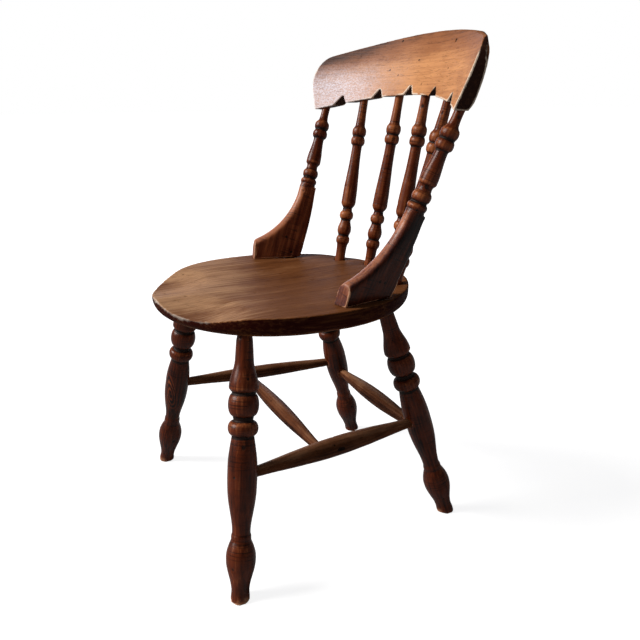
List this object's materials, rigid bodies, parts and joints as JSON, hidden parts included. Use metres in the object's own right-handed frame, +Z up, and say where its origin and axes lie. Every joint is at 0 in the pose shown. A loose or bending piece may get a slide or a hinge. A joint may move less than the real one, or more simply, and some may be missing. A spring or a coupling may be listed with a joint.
{
  "type": "spindle-back kitchen chair",
  "caption": "Old turned-wood kitchen chair with a curved arched crest rail, slim back spindles, a round saddled seat and splayed legs; dark varnish worn at the edges.",
  "frame": {"origin": "on the floor at the middle of the footprint", "axes": "+Z up, faces -Y"},
  "size_m": [0.5008, 0.4982, 0.8145],
  "materials": {
    "seat_wood": "satin",
    "crest_wood": "satin",
    "turned_wood": "gloss",
    "stretcher_wood": "satin",
    "screw_steel": "satin"
  },
  "bodies": {
    "root": {"seat": "seat_wood", "crest_rail": "crest_wood", "post_left": "turned_wood", "post_right": "turned_wood", "spindle_1": "turned_wood", "spindle_2": "turned_wood", "spindle_3": "turned_wood", "spindle_4": "turned_wood", "leg_front_left": "turned_wood", "leg_front_right": "turned_wood", "leg_back_left": "turned_wood", "leg_back_right": "turned_wood", "stretcher_side_left": "stretcher_wood", "stretcher_side_right": "stretcher_wood", "stretcher_cross": "stretcher_wood", "stretcher_back": "stretcher_wood", "bracket_screws": "screw_steel"}
  },
  "joints": []
}
